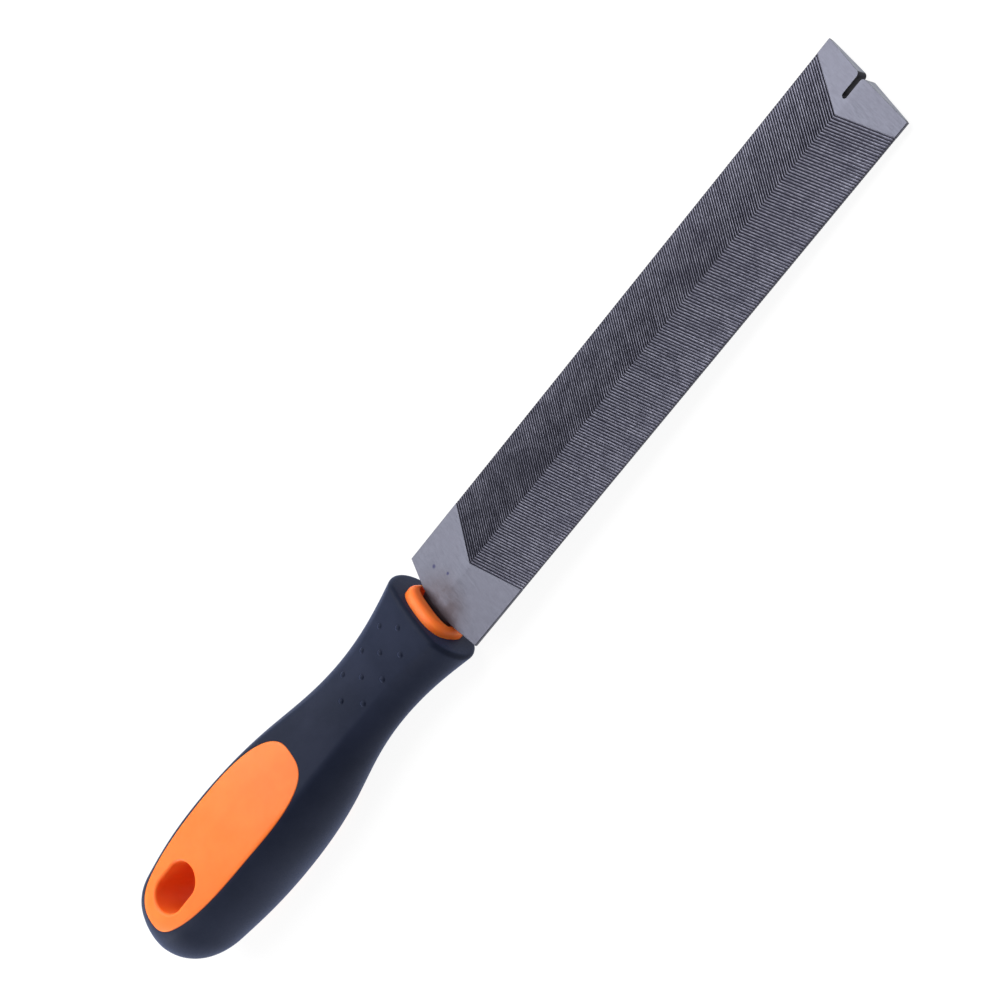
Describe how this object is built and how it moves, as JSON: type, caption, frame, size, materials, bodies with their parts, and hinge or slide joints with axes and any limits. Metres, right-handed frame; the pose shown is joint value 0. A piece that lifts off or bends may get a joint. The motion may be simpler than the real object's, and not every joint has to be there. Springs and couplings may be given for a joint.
{
  "type": "rhombic saw file",
  "caption": "Rhombic single-cut saw file with a saw-setting slot in its tip and an over-moulded plastic handle with a hang hole.",
  "frame": {"origin": "centre of the file's bounding box, on the middle plane of the blade", "axes": "+X from the butt of the handle to the tip of the blade, +Y across the blade's width, +Z through its thickness"},
  "size_m": [0.263, 0.0272, 0.0256],
  "materials": {
    "steel": "hardened grey steel, cut teeth on all four facets, plain ground tip and heel",
    "orange_plastic": "satin injection-moulded orange polypropylene",
    "dark_rubber": "soft matt slate-navy thermoplastic rubber"
  },
  "bodies": {
    "root": {"file_blade": "steel", "handle_core": "orange_plastic", "grip": "dark_rubber"}
  },
  "joints": []
}
